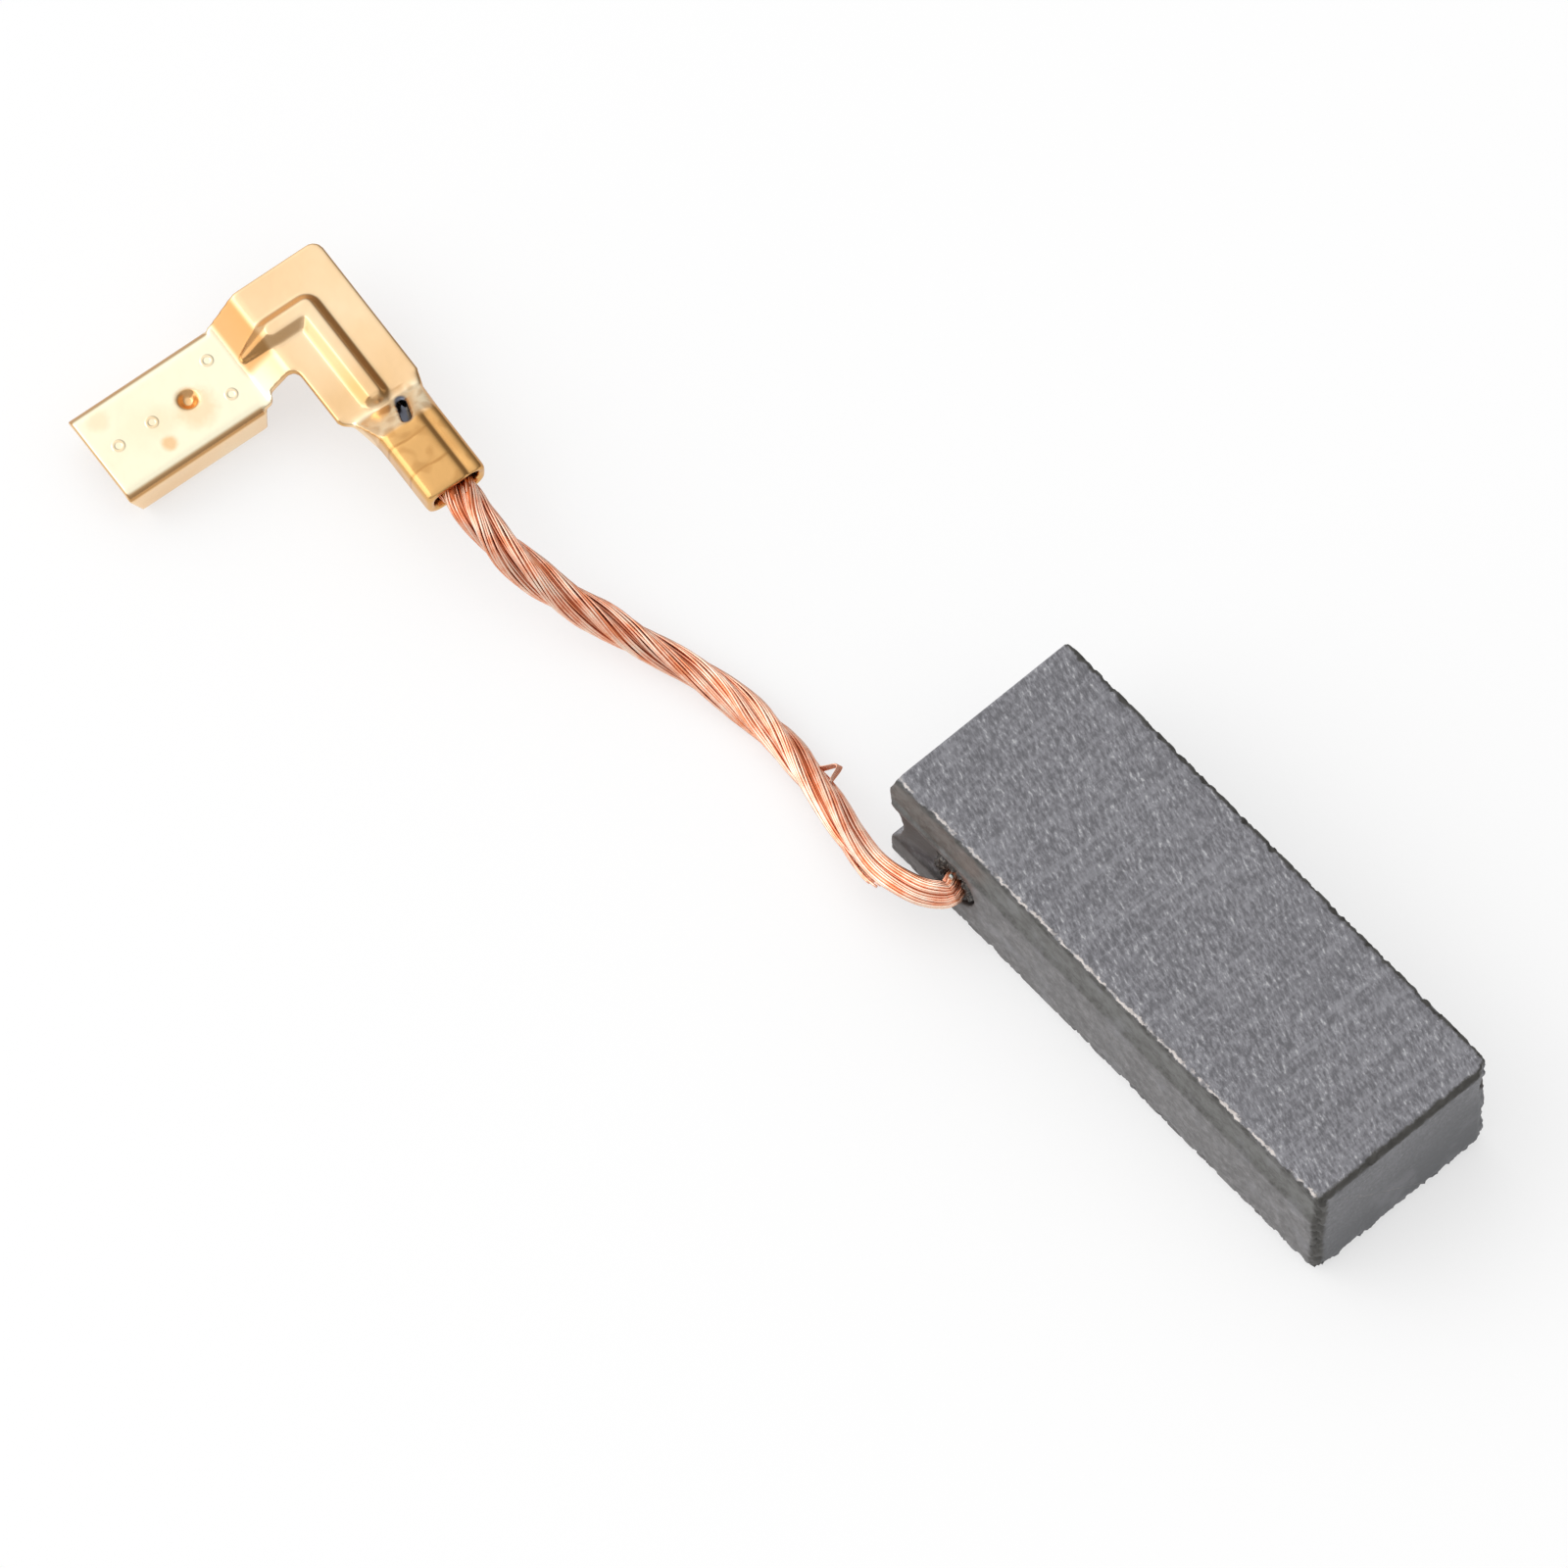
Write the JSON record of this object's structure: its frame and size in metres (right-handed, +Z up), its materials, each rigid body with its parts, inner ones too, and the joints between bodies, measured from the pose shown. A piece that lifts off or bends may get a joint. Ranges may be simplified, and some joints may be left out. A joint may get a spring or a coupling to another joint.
{
  "type": "carbon brush",
  "caption": "Rectangular carbon motor brush with a stranded copper pigtail and a brass flag receptacle that plugs onto a flat tab.",
  "frame": {"origin": "centre of the carbon block's bottom face, which lies on the ground", "axes": "+X along the block towards its contact end, +Y across the block away from the pigtail, +Z up through its thickness"},
  "size_m": [0.0576, 0.0211, 0.0063],
  "materials": {
    "carbon": "fine-grained pressed carbon-graphite, ground satin",
    "tamping": "compacted dark copper powder, matte",
    "copper": "bare stranded copper, bright",
    "brass": "stamped brass sheet, bright"
  },
  "bodies": {
    "root": {"carbon_block": "carbon", "tamping_plug": "tamping", "pigtail": "copper", "flag_terminal": "brass"}
  },
  "joints": []
}
